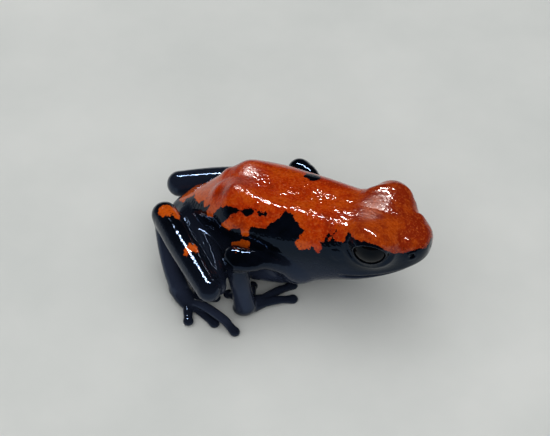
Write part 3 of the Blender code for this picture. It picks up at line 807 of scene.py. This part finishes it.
def paint_marks(points):
    """The values of MARKS at each point: distance inside the red in mm, then shares."""
    x, y, z = points.T
    plate = on_plate(points)
    drop = between(y, 0, LEFT_EDGE_START) * LEFT_EDGE_DROP
    red = inside_distance(plate + np.stack([np.zeros(len(points)), drop], 1), BACK_EDGE)
    right_side = y < RIGHT_SIDE_END
    for spot in (DARK_BAND, DARK_ISLET):
        red = np.where(right_side, np.minimum(red, -inside_distance(plate, spot)), red)
    trunk = trunk_distance(points)
    # The right side comes last, because the patches below lie on its limbs
    for side, name in ((1, "left"), (-1, "right")):
        limbs = np.minimum(*limbs_distance(points, side, name))
        off_limb = np.minimum(red, limbs - trunk + RED_ON_LIMB)
        red = np.where(limbs < LIMB_REACH, off_limb, red)
    on_limb = np.minimum(trunk - limbs + PATCH_MARGIN, PATCH_DEPTH - limbs)
    for patch in LIMB_PATCHES:
        red = np.maximum(red, np.minimum(inside_distance(plate, patch), on_limb))
    flank = np.minimum(inside_distance(plate, FLANK_PATCH), limbs - FLANK_CLEARANCE)
    red = np.maximum(red, np.where(right_side, flank, -1))
    for *place, radius in SPOTS:
        red = np.maximum(red, radius - np.linalg.norm(points - place, axis=1))
    off = (points - DARK_NOTCH[:3]) * NOTCH_STRETCH
    red = np.minimum(red, np.linalg.norm(off, axis=1) - DARK_NOTCH[3])
    deep = between(x, *HEAD_RED_X)
    yellow = between(z, *FLANK_RED_HEIGHT) * between(x, *FLANK_RED_X)
    granular = bump(y, GRANULAR_WIDTH) * between(z, *GRANULAR_HEIGHT) * between(x, *GRANULAR_X)
    folds = np.clip(fold_height(x, y) * FOLD_GRANULES, 0, MOST_GRANULAR)
    granular = np.maximum(granular, folds)
    # Share of the painted reflection of the pale floor on the lower parts, weaker on toes and
    # fingers lying on the floor
    floor_sheen = between(z, *FLOOR_SHEEN_HEIGHT)
    floor_sheen = floor_sheen * np.maximum(between(z, *TOE_SHEEN_HEIGHT), TOE_SHEEN_SHARE)
    dull = np.zeros(len(points))
    for middle, out, radius, share in DULL_SKIN:
        far = np.hypot(x - middle, np.abs(y) - out)
        dull = np.maximum(dull, share * bump(far, radius))
    dull = dull * between(z, *DULL_HEIGHT)
    return np.clip(red, -MARK_REACH, MARK_REACH), deep, yellow, granular, floor_sheen, dull


def set_values(mesh, name, values):
    attribute = mesh.attributes.new(name, "FLOAT", "POINT")
    attribute.data.foreach_set("value", np.asarray(values, np.float32))


def hex_colour(code):
    """An sRGB hex code as the linear colour that shaders take."""
    parts = [int(code[i:i + 2], 16) / 255 for i in (1, 3, 5)]
    return tuple(c / 12.92 if c <= 0.04045 else ((c + 0.055) / 1.055) ** 2.4 for c in parts)


def add_node(tree, kind, settings=None, inputs=None):
    """Adds a node, sets it and fills its sockets with values or with links from other nodes."""
    made = tree.nodes.new("ShaderNode" + kind)
    for name, value in (settings or {}).items():
        setattr(made, name, value)
    for name, value in (inputs or {}).items():
        sockets = [s for s in made.inputs if s.name == name and s.enabled] \
            if isinstance(name, str) else [made.inputs[name]]
        if isinstance(value, bpy.types.Node):
            value = next(s for s in value.outputs if s.enabled)
        if isinstance(value, bpy.types.NodeSocket):
            tree.links.new(value, sockets[0])
        else:
            sockets[0].default_value = (*value, 1) if sockets[0].type == "RGBA" else value
    return made


def new_material(name):
    made = bpy.data.materials.new(name)
    made.use_nodes = True
    made.node_tree.nodes.clear()
    return made, made.node_tree


def per_mm(size):
    """Noise scale, in turns a metre, for features of a size in mm."""
    return 1000 / size


def wet_frog_skin():
    """Wet frog skin: pigment under a film of water, so its colours are deep and the lights show in
    it as sharp streaks, which its fine granules break up. On the lower parts the black is paler, a
    painted reflection of the pale floor."""
    colours = bpy.context.scene.frog_colours
    made, tree = new_material("wet_frog_skin")
    place = add_node(tree, "TexCoord").outputs["Object"]
    mark, deep, yellow, granular, under, dull = (
        add_node(tree, "Attribute", {"attribute_name": name}).outputs["Fac"] for name in MARKS)
    # Clouds, specks, freckles, ripples and patches: size in mm, detail and roughness
    cloud, speck, freckle, ripples, patches = (
        add_node(tree, "TexNoise", None, {
            "Vector": place, "Scale": per_mm(size), "Detail": detail, "Roughness": rough})
        for size, detail, rough in ((2.6, 3.0, 0.55), (0.32, 4.0, 0.65), (0.3, 1.0, 0.55),
                                    (0.5, 1.0, 0.55), (1.7, 2.0, 0.55)))

    # The edge between red and black is ragged at 0.6 mm and again at 0.16 mm
    ragged = mark
    for size, reach in ((0.6, 0.7), (0.16, 0.3)):
        wave = add_node(tree, "TexNoise", None, {
            "Vector": place, "Scale": per_mm(size), "Detail": 3.0, "Roughness": 0.55})
        wave = add_node(tree, "Math", {"operation": "SUBTRACT"}, {0: wave, 1: 0.5})
        ragged = add_node(tree, "Math", {"operation": "MULTIPLY_ADD"}, {
            0: wave, 1: reach, 2: ragged})
    inside = add_node(tree, "MapRange", None, {
        "Value": ragged, "From Min": -0.035, "From Max": 0.035})
    # Black freckles of about 0.2 mm sit in the red near its edge
    freckle = add_node(tree, "MapRange", None, {
        "Value": freckle, "From Min": 0.66, "From Max": 0.72})
    near_edge = add_node(tree, "MapRange", None, {
        "Value": mark, "From Min": 0.9, "From Max": 0.2})
    freckle = add_node(tree, "Math", {"operation": "MULTIPLY"}, {0: freckle, 1: near_edge})
    clear = add_node(tree, "Math", {"operation": "SUBTRACT"}, {0: 1.0, 1: freckle})
    red_share = add_node(tree, "Math", {"operation": "MULTIPLY"}, {0: inside, 1: clear})

    # Red is yellower on the flanks and deeper on the head, with clouds and specks in it
    red = tuple(colours.back)
    for share, shade in ((yellow, colours.flank), (deep, colours.head)):
        red = add_node(tree, "Mix", {"data_type": "RGBA"}, {
            "Factor": share, "A": red, "B": tuple(shade)})
    for pattern, start, full, most, shade in (
            (cloud, 0.46, 0.66, 0.6, colours.flank), (cloud, 0.48, 0.32, 0.8, colours.head),
            (speck, 0.52, 0.7, 0.6, colours.speckle), (speck, 0.48, 0.32, 0.65, colours.head)):
        share = add_node(tree, "MapRange", None, {
            "Value": pattern, "From Min": start, "From Max": full, "To Max": most})
        red = add_node(tree, "Mix", {"data_type": "RGBA"}, {
            "Factor": share, "A": red, "B": tuple(shade)})
    # Black is clouded too, and paler on the lower parts, where a painted reflection of the pale
    # floor lies on it
    share = add_node(tree, "MapRange", None, {"Value": cloud, "From Min": 0.4, "From Max": 0.7})
    black = tuple(colours.black)
    for share, shade in ((share, colours.slate), (under, colours.under)):
        black = add_node(tree, "Mix", {"data_type": "RGBA"}, {
            "Factor": share, "A": black, "B": tuple(shade)})
    colour = add_node(tree, "Mix", {"data_type": "RGBA"}, {
        "Factor": red_share, "A": black, "B": red})

    # Granules of 0.3 mm on ripples of 0.5 mm break the film's lights into strokes
    granules = add_node(tree, "TexVoronoi", {"feature": "SMOOTH_F1"}, {
        "Vector": place, "Scale": per_mm(0.3), "Smoothness": 0.6}).outputs["Distance"]
    ripples = add_node(tree, "Math", {"operation": "MULTIPLY"}, {0: ripples, 1: 2.2})
    height = add_node(tree, "Math", {"operation": "MULTIPLY_ADD"}, {
        0: granules, 1: -0.5, 2: ripples})
    # The middle of the back is coarser, in patches, and catches the light in sparkles
    patches = add_node(tree, "MapRange", None, {
        "Value": patches, "From Min": 0.48, "From Max": 0.6})
    patches = add_node(tree, "Math", {"operation": "MULTIPLY"}, {0: granular, 1: patches})
    rough = add_node(tree, "Math", {"operation": "MULTIPLY_ADD"}, {0: granular, 1: 0.35, 2: 0.24})
    rough = add_node(tree, "Math", {"operation": "MULTIPLY_ADD"}, {0: patches, 1: 0.7, 2: rough})
    relief = add_node(tree, "Bump", None, {
        "Strength": rough, "Distance": 0.05 * MM, "Height": height})
    # The film's lights are bluish on black and warm on red, and blurred where the skin is dull
    tint = add_node(tree, "Mix", {"data_type": "RGBA"}, {
        "Factor": red_share, "A": (0.3, 0.55, 1.0), "B": (1.0, 0.86, 0.8)})
    film = add_node(tree, "MapRange", None, {
        "Value": speck, "From Min": 0.3, "From Max": 0.7, "To Min": 0.04, "To Max": 0.08})
    film = add_node(tree, "Math", {"operation": "MULTIPLY_ADD"}, {0: dull, 1: 0.5, 2: film})
    coat = add_node(tree, "MapRange", None, {"Value": dull, "To Min": 0.15, "To Max": 0.0})
    shader = add_node(tree, "BsdfPrincipled", None, {
        "Base Color": colour, "Roughness": film, "IOR": 1.35, "Specular Tint": tint,
        "Coat Weight": coat, "Coat Roughness": 0.06, "Coat IOR": 1.4,
        "Normal": relief, "Coat Normal": relief})
    add_node(tree, "OutputMaterial", None, {"Surface": shader})
    return made


def make_skin():
    """The whole skin, as one closed surface drawn through the sum of the frog's forms."""
    step = bpy.context.scene.frog_sizes.skin_detail / MM
    axes = [spaced(low, high, step, bands) for low, high, bands in SKIN_GRID]
    points, faces = surface_nets(sample_grid(axes), axes)
    points = settle(points, step)
    skin = mesh_object("frog_skin", points, faces.tolist())
    for name, values in zip(MARKS, paint_marks(points)):
        set_values(skin.data, name, values)
    skin.data.materials.append(wet_frog_skin())
    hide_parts(*(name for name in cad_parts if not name.startswith("eye_")))
    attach(skin, "root")


def wet_eye():
    """Clear wet cornea over a dark iris, which looks nearly black with a few coppery flecks.
    The attributes are distances in mm from the eye's axis."""
    colours = bpy.context.scene.frog_colours
    made, tree = new_material("wet_eye")
    across = add_node(tree, "Attribute", {"attribute_name": "iris_across"}).outputs["Fac"]
    up = add_node(tree, "Attribute", {"attribute_name": "iris_up"}).outputs["Fac"]
    spot = add_node(tree, "CombineXYZ", None, {0: across, 1: up})
    turned = add_node(tree, "VectorMath", {"operation": "NORMALIZE"}, {0: spot})
    rays = add_node(tree, "TexNoise", None, {"Vector": turned, "Scale": 7.0, "Detail": 4.0})
    oval = add_node(tree, "VectorMath", {"operation": "MULTIPLY"}, {0: spot, 1: (1.0, 1.35, 0.0)})
    far = add_node(tree, "VectorMath", {"operation": "LENGTH"}, {0: oval}).outputs["Value"]
    # The pupil is 1.8 mm long and lower than that
    pupil = add_node(tree, "MapRange", None, {"Value": far, "From Min": 0.86, "From Max": 0.94})
    fleck = add_node(tree, "MapRange", None, {"Value": rays, "From Min": 0.5, "From Max": 0.75})
    iris = add_node(tree, "Mix", {"data_type": "RGBA"}, {
        "Factor": fleck, "A": tuple(colours.iris), "B": tuple(colours.fleck)})
    colour = add_node(tree, "Mix", {"data_type": "RGBA"}, {
        "Factor": pupil, "A": (0.0005, 0.0005, 0.0006), "B": iris})
    shader = add_node(tree, "BsdfPrincipled", None, {
        "Base Color": colour, "Roughness": 0.1, "IOR": 1.34, "Specular Tint": (0.2, 0.3, 0.45),
        "Coat Weight": 0.05, "Coat Roughness": 0.02, "Coat IOR": 1.35})
    add_node(tree, "OutputMaterial", None, {"Surface": shader})
    return made


def make_eye(side, name, finish):
    """An eyeball turned about its axis, its wide cornea filling the opening of the lids."""
    centre, axis, along, up = eye_frame(side)
    rings, sides = 48, 64
    points, faces = [centre + axis * (EYE_CAP - EYE_SET_BACK)], []
    for i in range(1, rings):
        turn = math.pi * i / rings
        back = EYE_SET_BACK
        cap = math.sqrt(EYE_CAP ** 2 - (back * math.sin(turn)) ** 2) - back * math.cos(turn)
        share = eased(between(math.degrees(turn), *CORNEA_EDGE))
        radius = cap + (EYE_RADIUS - cap) * share
        for k in range(sides):
            around = 2 * math.pi * k / sides
            spoke = along * math.cos(around) + up * math.sin(around)
            points.append(centre + (axis * math.cos(turn) + spoke * math.sin(turn)) * radius)
    points.append(centre - axis * EYE_RADIUS)
    points = np.array(points)
    last = len(points) - 1
    for k in range(sides):
        after = (k + 1) % sides
        faces.append((0, 1 + k, 1 + after))
        for i in range(rings - 2):
            a, b = 1 + i * sides, 1 + (i + 1) * sides
            faces.append((a + k, b + k, b + after, a + after))
        low = 1 + (rings - 2) * sides
        faces.append((low + k, last, low + after))
    made = mesh_object(f"{name}_globe", points, faces)
    work = bmesh.new()
    work.from_mesh(made.data)
    bmesh.ops.recalc_face_normals(work, faces=work.faces)
    work.to_mesh(made.data)
    work.free()
    set_values(made.data, "iris_across", (points - centre) @ along)
    set_values(made.data, "iris_up", (points - centre) @ up)
    made.data.materials.append(finish)
    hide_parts(name)
    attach(made, "root")


def pale_stone():
    """Honed pale stone, ground flat but not polished: matt and nearly plain, with faint
    clouding."""
    made, tree = new_material("honed_pale_stone")
    place = add_node(tree, "TexCoord").outputs["Object"]
    cloud = add_node(tree, "TexNoise", None, {
        "Vector": place, "Scale": per_mm(24.0), "Detail": 4.0, "Roughness": 0.55})
    cloud = add_node(tree, "MapRange", None, {"Value": cloud, "From Min": 0.35, "From Max": 0.7})
    colour = add_node(tree, "Mix", {"data_type": "RGBA"}, {
        "Factor": cloud, "A": tuple(bpy.context.scene.frog_colours.floor),
        "B": hex_colour(STONE_CLOUD)})
    shader = add_node(tree, "BsdfPrincipled", None, {
        "Base Color": colour, "Roughness": 0.9, "Specular IOR Level": 0.05})
    add_node(tree, "OutputMaterial", None, {"Surface": shader})
    return made


def add_lamp(name, centre, size, power, target):
    """A soft area light, its long side along the frog, facing target. Lengths in mm."""
    lamp = bpy.data.lights.new(name, "AREA")
    lamp.shape = "RECTANGLE"
    lamp.size, lamp.size_y = size[0] * MM, size[1] * MM
    lamp.energy = power
    made = bpy.data.objects.new(name, lamp)
    bpy.context.scene.collection.objects.link(made)
    ahead = (Vector(target) - Vector(centre)).normalized()
    across = Vector((1, 0, 0))
    across = (across - ahead * across.dot(ahead)).normalized()
    turn = Matrix((across, across.cross(ahead) * -1, -ahead)).transposed()
    made.matrix_world = Matrix.Translation(Vector(centre) * MM + ORIGIN) @ turn.to_4x4()
    return made


def make_stage():
    """Pale floor, an overhead lamp of two bars, soft lights, a dim room and the camera."""
    bpy.ops.mesh.primitive_plane_add(size=FLOOR_SIZE * MM, location=(0, 0, 0))
    floor = bpy.context.object
    floor.name = "floor"
    floor.data.materials.append(pale_stone())

    aim = Vector(VIEW_AIM)
    tilt = math.radians(LAMP_TILT)
    sideways = Vector((0, math.cos(tilt), -math.sin(tilt)))
    middle = aim + Vector((-LAMP_BACK, math.sin(tilt) * LAMP_HEIGHT, math.cos(tilt) * LAMP_HEIGHT))
    for name, along, across, size, bright in LAMP_BARS:
        centre = middle + Vector((along, 0, 0)) + sideways * across
        power = LAMP_POWER * bright * size[0] * size[1] / 1000
        bar = add_lamp(name, centre, size, power, aim)
        # The bars only show in the wet skin, and the soft lights only light it
        bar.visible_diffuse = False
    for name, place, size, power in SOFT_LIGHTS:
        soft = add_lamp(name, aim + Vector(place), (size, size), power, aim)
        soft.visible_glossy = False

    world = bpy.data.worlds.new("room")
    bpy.context.scene.world = world
    world.use_nodes = True
    tree = world.node_tree
    tree.nodes.clear()
    ray = add_node(tree, "TexCoord").outputs["Generated"]
    side = add_node(tree, "VectorMath", {"operation": "DOT_PRODUCT"}, {
        0: ray, 1: HORIZON_SIDE}).outputs["Value"]
    height = add_node(tree, "SeparateXYZ", None, {0: ray}).outputs["Z"]
    away = add_node(tree, "MapRange", None, {
        "Value": side, "From Min": HORIZON_TURN[0], "From Max": HORIZON_TURN[1],
        "To Min": HORIZON_NEAR, "To Max": HORIZON_FAR})
    low = add_node(tree, "MapRange", None, {
        "Value": height, "From Min": HORIZON_TOP[0], "From Max": HORIZON_TOP[1]})
    glow = add_node(tree, "Math", {"operation": "MULTIPLY"}, {0: away, 1: low})
    band = add_node(tree, "Background", None, {
        "Color": hex_colour(HORIZON_COLOUR), "Strength": glow})
    room = add_node(tree, "Background", None, {
        "Color": hex_colour(ROOM_COLOUR), "Strength": 1.0})
    both = add_node(tree, "AddShader", None, {0: band, 1: room})
    add_node(tree, "OutputWorld", None, {"Surface": both})

    lens = bpy.data.cameras.new("camera")
    lens.sensor_width = SENSOR_WIDTH
    lens.lens = SENSOR_WIDTH * VIEW_DISTANCE / VIEW_FIELD
    lens.clip_start = CLIP_START * MM
    camera = bpy.data.objects.new("camera", lens)
    bpy.context.scene.collection.objects.link(camera)
    right, up, back = view_axes()
    turn = Matrix((right, up, back)).transposed().to_4x4()
    camera.matrix_world = Matrix.Translation((aim + back * VIEW_DISTANCE) * MM + ORIGIN) @ turn
    bpy.context.scene.camera = camera
    bpy.context.scene.view_settings.view_transform = "Standard"


class FrogSizes(bpy.types.PropertyGroup):
    skin_detail: FloatProperty(
        name="Skin detail", description="Spacing of the points of the skin",
        default=0.2 * MM, unit="LENGTH")


def colour_property(name, description, code):
    return FloatVectorProperty(
        name=name, description=description, default=hex_colour(code), size=3, subtype="COLOR",
        min=0, max=1)


class FrogColours(bpy.types.PropertyGroup):
    back: colour_property("Back", "Red of the middle of the back", "#aa2c03")
    flank: colour_property("Flank", "Yellower red of the flanks", "#c6520c")
    head: colour_property("Head", "Deep red of the head", "#84240a")
    speckle: colour_property("Speckle", "Pale granules in the red", "#c86029")
    black: colour_property("Black", "Black of the limbs and flanks", "#030509")
    slate: colour_property("Slate", "Blue-black clouding of the limbs", "#070b14")
    # The underside colour is a painted reflection of the pale floor on the black of the lower parts
    under: colour_property("Underside", "Paler blue-black of the lower parts", "#262c3c")
    iris: colour_property("Iris", "Dark brown of the iris", "#050404")
    fleck: colour_property("Iris fleck", "Coppery flecks of the iris", "#0f0a07")
    floor: colour_property("Floor", "Pale stone floor", "#d2d5d2")


class FROG_OT_skin(bpy.types.Operator):
    """Build the skin with its lids, mouth, limbs, digits and markings"""
    bl_idname = "frog.skin"
    bl_label = "Skin"

    def execute(self, context):
        make_skin()
        return {"FINISHED"}


class FROG_OT_eyes(bpy.types.Operator):
    """Build the two eyeballs"""
    bl_idname = "frog.eyes"
    bl_label = "Eyes"

    def execute(self, context):
        finish = wet_eye()
        for side, name in ((1, "eye_left"), (-1, "eye_right")):
            make_eye(side, name, finish)
        return {"FINISHED"}


class FROG_OT_stage(bpy.types.Operator):
    """Build the floor, lamps, room and camera"""
    bl_idname = "frog.stage"
    bl_label = "Stage"

    def execute(self, context):
        make_stage()
        return {"FINISHED"}


class FROG_PT_panel(bpy.types.Panel):
    """Sidebar list of the frog's pieces, sizes and colours"""
    bl_label = "Poison frog"
    bl_space_type = "VIEW_3D"
    bl_region_type = "UI"
    bl_category = "Frog"

    def draw(self, context):
        for piece in (FROG_OT_skin, FROG_OT_eyes, FROG_OT_stage):
            self.layout.operator(piece.bl_idname)
        for group in (context.scene.frog_sizes, context.scene.frog_colours):
            for name in group.__annotations__:
                self.layout.prop(group, name)


CLASSES = (FrogSizes, FrogColours, FROG_OT_skin, FROG_OT_eyes, FROG_OT_stage, FROG_PT_panel)


def register():
    for item in CLASSES:
        bpy.utils.register_class(item)
    bpy.types.Scene.frog_sizes = PointerProperty(type=FrogSizes)
    bpy.types.Scene.frog_colours = PointerProperty(type=FrogColours)


def unregister():
    del bpy.types.Scene.frog_colours
    del bpy.types.Scene.frog_sizes
    for item in reversed(CLASSES):
        bpy.utils.unregister_class(item)


def main():
    register()
    bpy.ops.frog.skin()
    bpy.ops.frog.eyes()
    bpy.ops.frog.stage()


if __name__ == "__main__":
    main()
